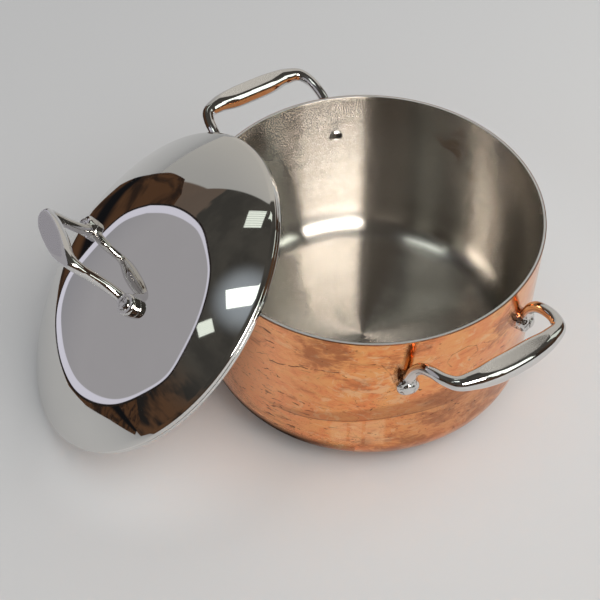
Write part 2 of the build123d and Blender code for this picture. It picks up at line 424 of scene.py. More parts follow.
def mark_flat(mesh, stations):
    # one value per vertex: 1 on the grip's flat, 0 elsewhere
    tree = KDTree(len(stations))
    for k, station in enumerate(stations):
        tree.insert(station[0] * MM, k)
    tree.balance()
    flat = mesh.attributes.new("flat", "FLOAT", "POINT")
    for vertex in mesh.vertices:
        centre, wide, upper, a, b, top = stations[tree.find(vertex.co)[1]]
        offset = np.array(vertex.co) / MM - centre
        if b > top + FLAT_LEAST:
            half_flat = math.sqrt(1 - (top / b) ** 2) * a
            above = (offset.dot(upper) - top + FLAT_DEPTH) / FLAT_FADE
            inside = (half_flat - abs(offset.dot(wide))) / FLAT_SIDE_FADE
            flat.data[vertex.index].value = min(max(min(above, inside), 0.0), 1.0)


def mark_bosses(mesh, feet, rugged):
    # one value per vertex: how rugged the skin is, on the bosses, and 0 elsewhere
    boss_share = mesh.attributes.new("boss", "FLOAT", "POINT")
    for vertex in mesh.vertices:
        nearest = math.inf
        for axis, base in feet:
            offset = np.array(vertex.co) / MM - base
            along = offset.dot(axis)
            aside = math.sqrt(max(offset.dot(offset) - along * along, 0.0))
            if along < BOSS_STAND + BOSS_OVER:
                nearest = min(nearest, aside)
        share = min(max((BOSS_R + BOSS_FADE - nearest) / BOSS_FADE, 0.0), 1.0)
        boss_share.data[vertex.index].value = share * rugged


def side_stations():
    # sections of a side loop, and the axis and seat of each of its bosses
    reach = POT_OUTER_R + BOSS_STAND / 2
    angle = math.asin(RIVET_HALF / reach)
    foot = (reach * math.cos(angle), RIVET_HALF, RIVET_Z)
    middle = (POT_OUTER_R + GRIP_REACH, 0.0, RIVET_Z + GRIP_RISE)
    axes = [np.array([math.cos(angle), way * math.sin(angle), 0.0]) for way in (1, -1)]
    feet = [(axis, axis * POT_OUTER_R + np.array([0.0, 0.0, RIVET_Z])) for axis in axes]
    return loop_stations(middle, foot, SIDE_ROUTE, SIDE_SECTION), feet


def lid_stations():
    # the same for the lid's loop, in the lid's own frame with its bosses along y
    angle = math.asin(LID_RIVET_HALF / DOME_R)
    reach = DOME_R + BOSS_STAND / 2
    foot = (0.0, reach * math.sin(angle), DOME_CENTRE + reach * math.cos(angle))
    middle = (0.0, 0.0, LID_RISE + LID_GRIP_RISE)
    axes = [np.array([0.0, way * math.sin(angle), math.cos(angle)]) for way in (1, -1)]
    feet = [(axis, axis * DOME_R + np.array([0.0, 0.0, DOME_CENTRE])) for axis in axes]
    return loop_stations(middle, foot, LID_ROUTE, LID_SECTION), feet


class Nodes:
    """A material's or world's node tree, with short calls for making and joining nodes."""

    def __init__(self, tree):
        self.tree = tree
        tree.nodes.clear()

    def make(self, kind, inputs=None, **settings):
        # inputs are values or other nodes' outputs, by the input's name or number
        node = self.tree.nodes.new(kind)
        for name, value in settings.items():
            setattr(node, name, value)
        for name, value in (inputs or {}).items():
            if isinstance(value, bpy.types.NodeSocket):
                self.join(value, node, name)
            else:
                node.inputs[name].default_value = value
        return node

    def join(self, source, node, name):
        self.tree.links.new(source, node.inputs[name])

    def math(self, operation, a, b=0.0, c=0.0):
        return self.make("ShaderNodeMath", {0: a, 1: b, 2: c}, operation=operation).outputs[0]

    def times(self, a, b):
        return self.math("MULTIPLY", a, b)

    def plus(self, a, b):
        return self.math("ADD", a, b)

    def minus(self, a, b):
        return self.math("SUBTRACT", a, b)

    def times_plus(self, a, b, c):
        return self.math("MULTIPLY_ADD", a, b, c)

    def larger(self, a, b):
        return self.math("MAXIMUM", a, b)

    def smaller(self, a, b):
        return self.math("MINIMUM", a, b)

    def unsigned(self, a):
        return self.math("ABSOLUTE", a)

    def vector(self, operation, a, b=(0, 0, 0), c=(0, 0, 0), output="Vector"):
        inputs = {0: a, 1: b, 2: c}
        return self.make("ShaderNodeVectorMath", inputs, operation=operation).outputs[output]

    def length(self, a):
        return self.vector("LENGTH", a, output="Value")

    def distance(self, a, b):
        return self.vector("DISTANCE", a, b, output="Value")

    def dot(self, a, b):
        return self.vector("DOT_PRODUCT", a, tuple(b), output="Value")

    def ramp(self, value, low, high, to_low=0.0, to_high=1.0):
        # smooth step from one value to another, held beyond both
        inputs = {"Value": value, "From Min": low, "From Max": high, "To Min": to_low, "To Max": to_high}
        return self.make("ShaderNodeMapRange", inputs, interpolation_type="SMOOTHSTEP").outputs["Result"]

    def mix(self, share, a, b, blend="MIX"):
        # the mix node's colour sockets are its inputs 6 and 7 and its output 2
        inputs = {0: share, 6: a, 7: b}
        return self.make("ShaderNodeMix", inputs, data_type="RGBA", blend_type=blend).outputs[2]

    def noise(self, place, scale, detail=3.0, roughness=0.5, distortion=0.0):
        inputs = {"Vector": place, "Scale": scale, "Detail": detail}
        inputs.update(Roughness=roughness, Distortion=distortion)
        return self.make("ShaderNodeTexNoise", inputs).outputs["Fac"]

    def place(self):
        return self.make("ShaderNodeTexCoord").outputs["Object"]

    def attribute(self, name):
        return self.make("ShaderNodeAttribute", attribute_name=name).outputs["Fac"]

    def stretched(self, place, scale, turn=(0, 0, 0)):
        inputs = {"Vector": place, "Scale": scale, "Rotation": turn}
        return self.make("ShaderNodeMapping", inputs).outputs["Vector"]

    def split(self, value):
        return list(self.make("ShaderNodeSeparateXYZ", {0: value}).outputs)

    def combine(self, x, y, z):
        return self.make("ShaderNodeCombineXYZ", {0: x, 1: y, 2: z}).outputs[0]

    def bump(self, height, strength, distance, normal=None):
        inputs = {"Height": height, "Strength": strength, "Distance": distance}
        if normal is not None:
            inputs["Normal"] = normal
        return self.make("ShaderNodeBump", inputs).outputs["Normal"]


def direction(azimuth, elevation):
    # unit vector by azimuth from +X and elevation, in degrees
    a = math.radians(azimuth)
    e = math.radians(elevation)
    return Vector((math.cos(a) * math.cos(e), math.sin(a) * math.cos(e), math.sin(e)))


def new_material(name, kind, inputs=None):
    # material with a single shader of a kind
    mat = bpy.data.materials.new(name)
    mat.use_nodes = True
    n = Nodes(mat.node_tree)
    shader = n.make(kind, inputs)
    n.make("ShaderNodeOutputMaterial", {"Surface": shader.outputs[0]})
    return mat, n, shader


def metal(name, **more):
    return new_material(name, "ShaderNodeBsdfPrincipled", {"Metallic": 1.0, **more})


def stroke(n, along, height, points, width, wander):
    # thin line over the wall through points given by azimuth in degrees and height in mm
    nearest = None
    for (a0, z0), (a1, z1) in zip(points, points[1:]):
        start = (math.radians(a0) * POT_OUTER_R, z0)
        step = (math.radians(a1) * POT_OUTER_R - start[0], z1 - z0)
        square = step[0] ** 2 + step[1] ** 2
        x = n.minus(along, start[0])
        y = n.minus(n.plus(height, wander), start[1])
        share = n.plus(n.times(x, step[0] / square), n.times(y, step[1] / square))
        share = n.smaller(n.larger(share, 0.0), 1.0)
        dx = n.minus(x, n.times(share, step[0]))
        dy = n.minus(y, n.times(share, step[1]))
        away = n.math("SQRT", n.plus(n.times(dx, dx), n.times(dy, dy)))
        nearest = away if nearest is None else n.smaller(nearest, away)
    return n.ramp(nearest, width, width * STROKE_CORE)


def blot(n, place, centre, radius, soft):
    # soft round patch about a point given in millimetres
    away = n.distance(place, tuple(c * MM for c in centre))
    return n.ramp(away, radius * MM, (radius - soft) * MM)


# Heavier tarnish: middle in millimetres, radius, strength
TARNISH = [
    ((80, -92, 126), 34, 0.95),
    ((112, -49, 118), 26, 0.55),
    ((121, -18, 58), 44, 0.95),
    ((114, -46, 20), 46, 0.85),
    ((121, 17, 35), 50, 0.95),
    ((120, 24, 112), 24, 0.80),
]
# Wavy scratch and fainter curls: azimuth in degrees and height in millimetres
SCRATCH = [(-67, 98), (-60, 101.5), (-53, 106), (-44, 110.5)]
CURLS = [
    [(-8, 103), (-10, 110), (-8.5, 117), (-3, 119.5), (0.5, 115), (1.5, 108), (-2, 103.5)],
    [(10.8, 99), (11.2, 104), (13.5, 105.8)],
    [(-31, 120), (-28.3, 111), (-26.5, 99)],
]
# Half widths of the scratch and of a curl in millimetres, and the share of a line that is fully dark
SCRATCH_HALF = 0.75
CURL_HALF = 0.65
STROKE_CORE = 0.3
# Duller belt, a painted reflection of a dark band: azimuths between which its lower and its upper edge
# climbs and the heights there, then azimuths between which the belt sets in and ends
BELT_LOW = (-64, -18, 49.5, 62.5)
BELT_HIGH = (-72, -14, 54.0, 81.0)
BELT_START = (-74, -60)
BELT_END = (30, 0)
# Brown veil: azimuths between which it sets in and ends, and heights between which it sets in
VEIL_START = (-42, -8)
VEIL_END = (75, 35)
VEIL_HEIGHTS = (92.0, 60.0)
# Edges of the paler panes under the belt, a painted reflection of pale panes, in degrees of azimuth, and
# the heights where they set in
PANES = (-46.0, -40.2, -35.3, -28.5)
PANES_FOOT = (26.0, 34.0)
# Depth under the rim between which the copper turns to its dark cut edge
CUT_EDGE = (0.9, 0.3)
# Azimuths of the sides with a duller tone: beside the lid, where it is painted shade of the lid's shadow
# that the copper mirrors, and far round the other way
BESIDE_LID = -95
FAR_ROUND = 35
# Where a painted highlight makes the skin paler, and where small dents crowd: middle, radius, soft edge
SHEEN_PATCH = ((103, -66, 98), 40, 36)
DENTED = ((60, -106, 38), 46, 30)
# How far each kind of mark, and each painted highlight and reflection, hides the copper's own tone
PALE_AND_SHEEN_COVER = 0.65
TARNISH_COVER = 0.66
VEIL_COVER = 0.30
BELT_COVER = 0.42
PANES_COVER = 0.42
MARKS_COVER = 0.8
HAIR_COVER = 0.55

COPPER_BRIGHT = (0.99, 0.455, 0.165, 1)
COPPER_PALE = (0.99, 0.62, 0.34, 1)
COPPER_RED = (0.93, 0.305, 0.110, 1)
COPPER_PINK = (0.90, 0.43, 0.23, 1)
COPPER_BROWN = (0.34, 0.135, 0.065, 1)
COPPER_DARK = (0.08, 0.036, 0.024, 1)


def copper_material():
    mat, n, shader = metal("copper")
    place = n.place()
    x, y, z = n.split(place)
    azimuth = n.math("ARCTAN2", y, x)
    along = n.times(azimuth, POT_OUTER_R)
    height = n.times(z, 1 / MM)
    wash = n.noise(place, 9, 3, 0.55, 0.6)
    swirl = n.noise(n.stretched(place, (1, 1, 1.4)), 26, 6, 0.66, 1.8)
    mottle = n.noise(n.stretched(place, (1, 1, 2.0)), 75, 5, 0.66, 0.9)
    brushed = n.noise(n.stretched(place, (20, 20, 62)), 1.0, 6, 0.70, 1.3)
    # painted shade: the side facing the lid is made duller and browner, standing in for the shadow
    # between lid and pot that the copper mirrors
    beside_lid = n.ramp(n.dot(place, direction(BESIDE_LID, 0)), 0.070, 0.122)
    beyond = n.ramp(n.dot(place, direction(FAR_ROUND, 0)), 0.050, 0.120)

    def by_azimuth(low, high, *to):
        # smooth step between two azimuths in degrees
        return n.ramp(azimuth, math.radians(low), math.radians(high), *to)

    # warm and red clouds, with a pinker, duller tone beside the lid, which is painted shade of the lid's
    # mirrored shadow, and far round the other way
    clouds = n.plus(n.times(swirl, 0.55), n.times(mottle, 0.45))
    tone = n.mix(n.ramp(clouds, 0.42, 0.58), COPPER_BRIGHT, COPPER_RED)
    # paler mottles over the skin, with a painted highlight on the middle of the front wall
    pale_mottle_and_sheen = n.noise(n.stretched(place, (1, 1, 1.6)), 38, 5, 0.72, 2.4)
    pale_mottle_and_sheen = n.times_plus(blot(n, place, *SHEEN_PATCH), 0.07, pale_mottle_and_sheen)
    pale_mottle_and_sheen = n.ramp(pale_mottle_and_sheen, 0.55, 0.62)
    tone = n.mix(n.times(pale_mottle_and_sheen, PALE_AND_SHEEN_COVER), tone, COPPER_PALE)
    side_share = n.larger(beside_lid, n.times(beyond, 0.7))
    pink = n.times(n.ramp(wash, 0.30, 0.62), n.times_plus(side_share, 0.7, 0.12))
    tone = n.mix(pink, tone, COPPER_PINK)

    # brown tarnish in ragged clouds, heavier in a few places, and darker towards the foot, where it is
    # painted shade of the contact shadow that the copper mirrors
    weight = n.times(n.ramp(height, 30.0, 4.0), 0.45)
    for centre, radius, share in TARNISH:
        heavy = blot(n, place, centre, radius, radius * 0.8)
        weight = n.larger(weight, n.times(heavy, share))
    ragged = n.plus(n.times(clouds, 0.75), n.times(brushed, 0.25))
    tarnish = n.ramp(n.times_plus(weight, 0.15, ragged), 0.535, 0.68)
    tone = n.mix(n.times(tarnish, TARNISH_COVER), tone, COPPER_BROWN)
    # brown smears, heavier beside the lid as painted shade of its mirrored shadow
    smears = n.times(n.ramp(brushed, 0.54, 0.66), n.times_plus(beside_lid, 0.16, 0.30))
    tone = n.mix(smears, tone, COPPER_BROWN)
    veil = n.times(by_azimuth(*VEIL_START), n.ramp(height, *VEIL_HEIGHTS))
    veil = n.times(veil, by_azimuth(*VEIL_END))
    tone = n.mix(n.times(veil, VEIL_COVER), tone, COPPER_BROWN)

    # painted reflection: a duller belt half way up, between two edges that drift with the azimuth, and
    # its dark lower line
    wander = n.times(n.minus(n.noise(place, 60, 3), 0.5), 9.0)
    over_low = n.minus(n.times_plus(wander, 0.15, height), by_azimuth(*BELT_LOW))
    under_high = n.minus(by_azimuth(*BELT_HIGH), n.times_plus(wander, 0.4, height))
    belt_ends = n.times(by_azimuth(*BELT_START), by_azimuth(*BELT_END))
    belt = n.times(n.ramp(over_low, 0.0, 0.8), n.ramp(under_high, 0.0, 4.0))
    belt = n.times(belt, belt_ends)
    tone = n.mix(n.times(belt, BELT_COVER), tone, COPPER_BROWN)
    line = n.times(n.ramp(n.unsigned(over_low), 0.8, 0.25), belt_ends)
    line = n.times(line, by_azimuth(0, -20, 0.0, 0.7))

    # painted reflection: paler panes under the belt, parted by thin seams
    degrees = n.times(azimuth, 180 / math.pi)
    first_edge = n.ramp(degrees, PANES[0] - 0.7, PANES[0] + 0.7)
    last_edge = n.ramp(degrees, PANES[-1] + 0.7, PANES[-1] - 0.7)
    panes = n.times(n.times(first_edge, last_edge), n.ramp(over_low, -0.5, -2.5))
    panes = n.times(panes, n.ramp(height, *PANES_FOOT))
    for edge in PANES[1:-1]:
        aside = n.unsigned(n.minus(degrees, edge))
        panes = n.times(panes, n.ramp(aside, 0.25, 0.9, 0.25, 1.0))
    tone = n.mix(n.times(panes, PANES_COVER), tone, COPPER_PALE)

    # thin dark scratches, curls, flecks, dashes and dents
    scratch = stroke(n, along, height, SCRATCH, SCRATCH_HALF, wander)
    scratch = n.times(scratch, n.ramp(mottle, 0.40, 0.50))
    for curl in CURLS:
        faint = stroke(n, along, height, curl, CURL_HALF, n.times(wander, 0.4))
        broken = n.ramp(mottle, 0.42, 0.56, 0.15, 0.6)
        scratch = n.larger(scratch, n.times(faint, broken))
    fleck = n.noise(n.stretched(place, (1, 1, 2.6)), 190, 2, 0.6)
    fleck_here = n.ramp(n.noise(place, 22, 2), 0.58, 0.46)
    fleck = n.times(n.ramp(fleck, 0.67, 0.70), fleck_here)
    dash = n.noise(n.stretched(place, (75, 75, 300)), 1.0, 3, 0.6, 1.0)
    dash_here = n.times(n.ramp(wash, 0.38, 0.52), n.times_plus(beside_lid, 0.75, 0.25))
    dents = blot(n, place, *DENTED)
    dash_here = n.larger(dash_here, dents)
    dash = n.times_plus(dents, 0.03, dash)
    dash = n.times(n.ramp(dash, 0.635, 0.665), dash_here)
    marks = n.larger(n.larger(scratch, line), n.larger(fleck, dash))

    # dark cut upper edge, and fine hairs
    marks = n.larger(marks, n.ramp(height, POT_H - CUT_EDGE[0], POT_H - CUT_EDGE[1]))
    tone = n.mix(n.times(marks, MARKS_COVER), tone, COPPER_DARK)
    hair = n.noise(n.stretched(place, (1, 1, 1), (0.7, 0.3, 0.2)), 34, 2, 0.5, 3.5)
    hair = n.ramp(n.unsigned(n.minus(hair, 0.5)), 0.006, 0.001)
    hair = n.times(hair, n.ramp(wash, 0.50, 0.62))
    tone = n.mix(n.times(hair, HAIR_COVER), tone, COPPER_DARK)
    n.join(tone, shader, "Base Color")

    # marks are rougher, and hand polishing leaves the skin a little uneven
    rough = n.plus(n.ramp(wash, 0.3, 0.7, 0.085, 0.14), n.times(tarnish, 0.10))
    n.join(n.plus(rough, n.times(marks, 0.2)), shader, "Roughness")
    ripple = n.bump(n.plus(n.times(swirl, 0.7), mottle), 0.25, 0.0010)
    fine = n.minus(n.times(brushed, 0.6), n.plus(marks, hair))
    n.join(n.bump(fine, 0.14, 0.0002, ripple), shader, "Normal")
    return mat


# Liner: tangent of the widest tilt of the brushed lines on its wall, corner and floor
WALL_SPREAD = 0.60
CORNER_SPREAD = 0.03
FLOOR_SPREAD = 0.24
# Liner: distance in millimetres between coarse lines, fine lines and single grains
COARSE_PITCH = 4.0
FINE_PITCH = 0.45
GRAIN_PITCH = 0.02
# Liner: middle, radius and soft edge of the stain near the rim
STAINED = ((-40, 113, 108), 40, 34)

LINER_DEEP = (0.61, 0.575, 0.53, 1)
LINER_BRIGHT = (0.72, 0.685, 0.64, 1)
LINER_UPPER_SHADED = (0.50, 0.47, 0.43, 1)
LINER_STAIN = (0.36, 0.22, 0.12, 1)
LINER_SHADED = (0.34, 0.32, 0.29, 1)
LINER_SHADED_AZIMUTH = 28


def liner_material():
    # brushed round the pot: every fine line of the brushing tilts its own way across its run
    mat, n, shader = metal("liner steel", Anisotropic=1.0)
    place = n.place()
    x, y, z = n.split(place)
    rings = n.plus(n.length(n.combine(x, y, 0.0)), z)

    def lines(drift, pitch, detail=2):
        # noise drawn out round the pot, with its lines a pitch in millimetres apart
        level = n.math("DIVIDE", rings, pitch * MM)
        return n.noise(n.combine(n.times(x, drift), n.times(y, drift), level), 1.0, detail, 0.6)

    haze = n.noise(place, 14, 3, 0.55)
    coarse = lines(4, COARSE_PITCH)
    fine = lines(9, FINE_PITCH, 3)
    stain_at = n.ramp(n.noise(n.stretched(place, (1, 1, 0.7)), 60, 4, 0.6, 1.0), 0.50, 0.66)
    stain = n.times(blot(n, place, *STAINED), stain_at)
    tone = n.mix(fine, LINER_DEEP, LINER_BRIGHT)
    # painted shade: the wall darkens towards the rim, standing in for the mirrored light fading upwards
    tone = n.mix(n.ramp(z, 0.070, 0.145), tone, LINER_UPPER_SHADED)
    tone = n.mix(n.times(stain, 0.55), tone, LINER_STAIN)
    # painted shade: darker on the side that faces the right handle, standing in for the dark room that
    # the steel mirrors there
    shade_share = n.ramp(n.dot(place, direction(LINER_SHADED_AZIMUTH, 0)), 0.020, 0.105)
    tone = n.mix(n.times(shade_share, 0.75), tone, LINER_SHADED)
    n.join(tone, shader, "Base Color")

    around = n.vector("CROSS_PRODUCT", place, (0, 0, 1))
    normal = n.make("ShaderNodeNewGeometry").outputs["Normal"]
    across = n.vector("NORMALIZE", n.vector("CROSS_PRODUCT", normal, around))
    n.join(across, shader, "Tangent")

    # floor and corner are polished finer than the wall
    upward = n.unsigned(n.split(normal)[2])
    polish = n.plus(n.ramp(upward, 0.30, 0.62, 1.0, 0.8), n.ramp(upward, 0.85, 0.98, 0.0, 0.2))
    rough = n.plus(n.times(coarse, 0.5), n.times(haze, 0.5))
    rough = n.times(n.ramp(rough, 0.35, 0.65, 0.20, 0.24), polish)
    n.join(rough, shader, "Roughness")

    # each grain leans by its own random share of the spread, and the fine lines lean in groups
    number = n.math("FLOOR", n.math("DIVIDE", rings, GRAIN_PITCH * MM))
    grain = n.make("ShaderNodeTexWhiteNoise", {"W": number}, noise_dimensions="1D").outputs["Value"]
    floor_more = n.ramp(upward, 0.90, 0.999, 0.0, 2 * (FLOOR_SPREAD - CORNER_SPREAD))
    spread = n.ramp(upward, 0.02, 0.50, 2 * WALL_SPREAD, 2 * CORNER_SPREAD)
    tilt = n.times(n.minus(grain, 0.5), n.plus(spread, floor_more))
    groups = n.times(n.minus(fine, 0.5), n.ramp(upward, 0.05, 0.50, 0.24, 0.10))
    tilt = n.plus(tilt, groups)
    leaning = n.vector("MULTIPLY_ADD", across, n.combine(tilt, tilt, tilt), normal)
    n.join(n.vector("NORMALIZE", leaning), shader, "Normal")
    return mat


# Castings: tones of the skin, the side pads, the lid's pad, which is painted shade, and the pits, and
# the lid pad's reach
CAST_STEEL = (0.71, 0.70, 0.69, 1)
SIDE_PAD = (0.82, 0.805, 0.78, 1)
LID_PAD_SHADED = (0.60, 0.585, 0.60, 1)
PIT_DARK = (0.10, 0.085, 0.075, 1)
LID_PAD_R = 46
LID_PAD_SOFT = 8
# Rivet tails on the pot: smooth and rugged radius, and distance from the axis where the wall ends
TAIL_SMOOTH_R = 2.6
TAIL_RUGGED_R = 3.6
TAIL_FROM = (124.0, 126.0)


def boss_mask(n, place):
    # rugged where the mesh says so, wherever the place is
    return n.attribute("boss")


def tail_mask(n, place):
    # outer ring of the side rivets' tails: the four stand alike round the pot
    x, y, z = n.split(place)
    angle = math.asin(RIVET_HALF / (POT_OUTER_R + BOSS_STAND / 2))
    from_x = n.times(n.unsigned(x), math.sin(angle))
    from_y = n.times(n.unsigned(y), math.cos(angle))
    offset = n.combine(n.minus(from_x, from_y), n.minus(z, RIVET_Z * MM), 0.0)
    ring = n.ramp(n.length(offset), TAIL_SMOOTH_R * MM, TAIL_RUGGED_R * MM)
    outside = n.ramp(n.length(n.combine(x, y, 0.0)), TAIL_FROM[0] * MM, TAIL_FROM[1] * MM)
    return n.times(ring, outside)


def cast_material(name, rugged_where):
    # polished casting, satin where its flat is marked
    mat, n, shader = metal(name)
    place = n.place()
    flat = n.attribute("flat")
    polished = n.ramp(n.noise(place, 60, 3, 0.6), 0.3, 0.8, 0.05, 0.10)
    satin = n.ramp(n.noise(place, 2400, 2, 0.7), 0.2, 0.8, 0.22, 0.30)
    rugged = rugged_where(n, place)
    pitted = n.times(n.ramp(n.noise(place, 520, 2, 0.6, 0.6), 0.52, 0.58), rugged)
    # painted shade: the lid's pad is darker and a little bluer than the side pads, standing in for the
    # darker surroundings it mirrors
    shade_share = blot(n, place, LID_ORIGIN + LID_UP * LID_PAD_H, LID_PAD_R, LID_PAD_SOFT)
    steel = n.mix(flat, CAST_STEEL, n.mix(shade_share, SIDE_PAD, LID_PAD_SHADED))
    n.join(n.mix(n.times(pitted, 0.8), steel, PIT_DARK), shader, "Base Color")
    rough = n.plus(polished, n.times(flat, n.minus(satin, polished)))
    n.join(rough, shader, "Roughness")
    # bosses and rivet tails keep an uneven skin
    uneven = n.times_plus(rugged, 0.85, 0.012)
    skin = n.times(n.noise(place, 330, 2, 0.55, 0.4), uneven)
    n.join(n.bump(skin, 0.55, 0.0011), shader, "Normal")
    return mat


def plain_metal(name, noise, rough, tones):
    # metal whose roughness and tone both follow one noise
    mat, n, shader = metal(name)
    smudge = n.noise(n.place(), *noise)
    n.join(n.ramp(smudge, *rough), shader, "Roughness")
    n.join(n.mix(smudge, *tones), shader, "Base Color")
    return mat


ALUMINIUM_TONES = ((0.76, 0.77, 0.78, 1), (0.86, 0.87, 0.88, 1))
LID_TONES = ((0.70, 0.69, 0.67, 1), (0.74, 0.73, 0.71, 1))


def dress(piece, body, slot, look, *nodes):
    # attaches a piece to its body with its material, and hides the nodes that it stands for
    piece.data.materials.clear()
    piece.data.materials.append(look)
    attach(piece, body)
    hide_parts(*nodes)


def make_pot():
    copper = copper_material()
    liner = liner_material()
    aluminium = plain_metal("aluminium", (900, 2), (0.2, 0.8, 0.3, 0.45), ALUMINIUM_TONES)
    cast = cast_material("cast steel", boss_mask)
    rivet_steel = cast_material("rivet steel", tail_mask)
    lid_steel = plain_metal("lid steel", (30, 3, 0.6), (0.3, 0.8, 0.02, 0.05), LID_TONES)

    outer = lathe("copper_skin", ply_profile(POT_OUTER_R, CORE_R, COPPER_FLOOR_STEPS), POT_SEGMENTS)
    dress(outer, "pot", "copper", copper, "copper_shell")
    inner = lathe("steel_inside", ply_profile(POT_INNER_R, LINER_R, LINER_FLOOR_STEPS), POT_SEGMENTS)
    dress(inner, "pot", "liner_steel", liner, "steel_liner")
    sheet = lathe("lid_sheet", lid_profile(), LID_SEGMENTS, LID_PLACE)
    dress(sheet, "lid", "lid_steel", lid_steel, "lid_shell")
    stations, feet = side_stations()
    for side, turn in (("right", 0), ("left", math.pi)):
        place = Matrix.Rotation(turn, 4, "Z")
        loop = cast_loop(side + "_loop", stations, feet, POT_SUNK, place, POT_RUGGED)
        dress(loop, "pot", "cast_steel", cast, side + "_handle")
    stations, feet = lid_stations()
    place = LID_PLACE @ Matrix.Rotation(-math.pi / 2, 4, "Z")
    loop = cast_loop("lid_loop", stations, feet, LID_SUNK, place, LID_RUGGED)
    dress(loop, "lid", "cast_steel", cast, "lid_handle")

    for name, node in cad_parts.items():
        node.data.materials.clear()
        node.data.materials.append(aluminium if name == "aluminium_core" else rivet_steel)


def make_camera():
    data = bpy.data.cameras.new("camera")
    data.lens = CAMERA_LENS
    data.sensor_width = CAMERA_SENSOR
    data.clip_start, data.clip_end = CAMERA_CLIP
    camera = link(bpy.data.objects.new("camera", data))
    a = math.radians(CAMERA_AZIMUTH)
    e = math.radians(CAMERA_ELEVATION)
    forward = Vector((-math.sin(a) * math.cos(e), math.cos(a) * math.cos(e), -math.sin(e)))
    camera.location = (Vector(CAMERA_TARGET) - forward * CAMERA_DISTANCE) * MM
    level = forward.to_track_quat("-Z", "Y")
    roll = Quaternion(forward, math.radians(-CAMERA_ROLL))
    camera.rotation_mode = "QUATERNION"
    camera.rotation_quaternion = roll @ level
    bpy.context.scene.camera = camera


# Floor, in metres: half its side, and its tones away from the light, in it, painted lighter near the
# pot, and painted as a pool of light by the lid
FLOOR_HALF = 24.0
FLOOR_FAR = (0.580, 0.580, 0.580, 1)
FLOOR_LIT = (0.680, 0.676, 0.668, 1)
FLOOR_NEAR_LIGHTENED = (0.700, 0.735, 0.745, 1)
FLOOR_LID_LIGHT_POOL = (0.930, 0.945, 0.945, 1)
FLOOR_LIT_AZIMUTH = 25
FLOOR_SKIN = {"Roughness": 0.85, "Specular IOR Level": 0.2}
LID_FOOT = (-0.01, -0.17, 0.0)


def make_floor():
    half = FLOOR_HALF
    corners = [(-half, -half, 0), (half, -half, 0), (half, half, 0), (-half, half, 0)]
    floor = mesh_object("floor", corners, [(0, 1, 2, 3)])
    mat, n, shader = new_material("floor paper", "ShaderNodeBsdfPrincipled", FLOOR_SKIN)
    # a little darker away from the light, and painted light close to the copper, paler and cooler,
    # lifting the pot's shadow and its warm bounce
    place = n.place()
    lit = n.ramp(n.dot(place, direction(FLOOR_LIT_AZIMUTH, 0)), -0.55, 0.45)
    paper = n.mix(lit, FLOOR_FAR, FLOOR_LIT)
    paper = n.mix(n.ramp(n.length(place), 0.30, 0.12), paper, FLOOR_NEAR_LIGHTENED)
    # painted light: a pale pool on the floor by the lid, standing in for light that the lid's mirror
    # throws there
    lid_light_pool = n.ramp(n.distance(place, LID_FOOT), 0.11, 0.03)
    n.join(n.mix(lid_light_pool, paper, FLOOR_LID_LIGHT_POOL), shader, "Base Color")
    floor.data.materials.append(mat)


# Main light: high on the camera's right, by azimuth from +X, elevation and distance
KEY_AZIMUTH = 35.0
KEY_ELEVATION = 52.0
KEY_DISTANCE = 2.5
KEY_AIM = (0, 0, 0.05)
KEY_SIZE = (2.2, 1.6)
KEY_POWER = 27.0
KEY_TINT = (1.0, 0.985, 0.96)


def make_key():
    data = bpy.data.lights.new("key", "AREA")
    data.shape = "RECTANGLE"
    data.size, data.size_y = KEY_SIZE
    data.energy = KEY_POWER
    data.color = KEY_TINT
    key = link(bpy.data.objects.new("key", data))
    place = direction(KEY_AZIMUTH, KEY_ELEVATION) * KEY_DISTANCE
    key.location = place
    key.rotation_euler = (Vector(KEY_AIM) - place).to_track_quat("-Z", "Y").to_euler()
    key.visible_glossy = False


def glossy_only(obj):
    # stands in the room round the pot: only reflections see it
    for rays in ("camera", "diffuse", "transmission", "volume_scatter", "shadow"):
        setattr(obj, "visible_" + rays, False)


# Bright cloth of the main light, as the polished metal mirrors it, in metres, and its dimmer folds
CLOTH_AZIMUTH = -9.0
CLOTH_ELEVATION = 43.0
CLOTH_DISTANCE = 1.7
CLOTH_HALF = (0.50, 0.20)
CLOTH_LIGHT = (24.5, 23.3, 22.0, 1)
CLOTH_DIM = (0.93, 0.92, 0.90)


def make_cloth():
    aim = direction(CLOTH_AZIMUTH, CLOTH_ELEVATION)
    side = Vector((0, 0, 1)).cross(aim).normalized() * CLOTH_HALF[0]
    up = aim.cross(side).normalized() * CLOTH_HALF[1]
    centre = aim * CLOTH_DISTANCE
    corners = [centre - side - up, centre + side - up, centre + side + up, centre - side + up]
    cloth = mesh_object("light_cloth", [tuple(c) for c in corners], [(0, 1, 2, 3)])
    mat, n, glow = new_material("light cloth", "ShaderNodeEmission")
    dim = (*(a * b for a, b in zip(CLOTH_LIGHT, CLOTH_DIM)), 1)
    n.join(n.mix(n.noise(n.place(), 3, 2), dim, CLOTH_LIGHT), glow, "Color")
    cloth.data.materials.append(mat)
    glossy_only(cloth)


# Reflector close to the lid: where its plane stands, and its outline on it in millimetres
REFLECTOR_AIM = direction(-138, 18)
REFLECTOR_DISTANCE = 0.120
REFLECTOR_MIDDLE = (45.0, 45.0)
REFLECTOR_OUTLINE = [
    (-90, 45), (-86, 85), (-72, 124), (-55, 150), (-11, 178), (32, 192),
    (71, 190), (109, 177), (168, 129), (200, 74), (193, 8), (167, -51),
    (133, -84), (96, -103), (59, -107), (23, -105), (-15, -99), (-36, -84),
    (-48, -50), (-64, -21), (-82, 6),
]
REFLECTOR_POINTS = 160
# Edges of its frame and of its face, as shares of the outline
REFLECTOR_RINGS = (1.035, 1.0)
REFLECTOR_FACE = (0.405, 0.395, 0.415, 1)
REFLECTOR_SHADE = (0.300, 0.298, 0.325, 1)
REFLECTOR_RIM = (0.74, 0.73, 0.84, 1)
REFLECTOR_FRAME = (0.02, 0.016, 0.014, 1)


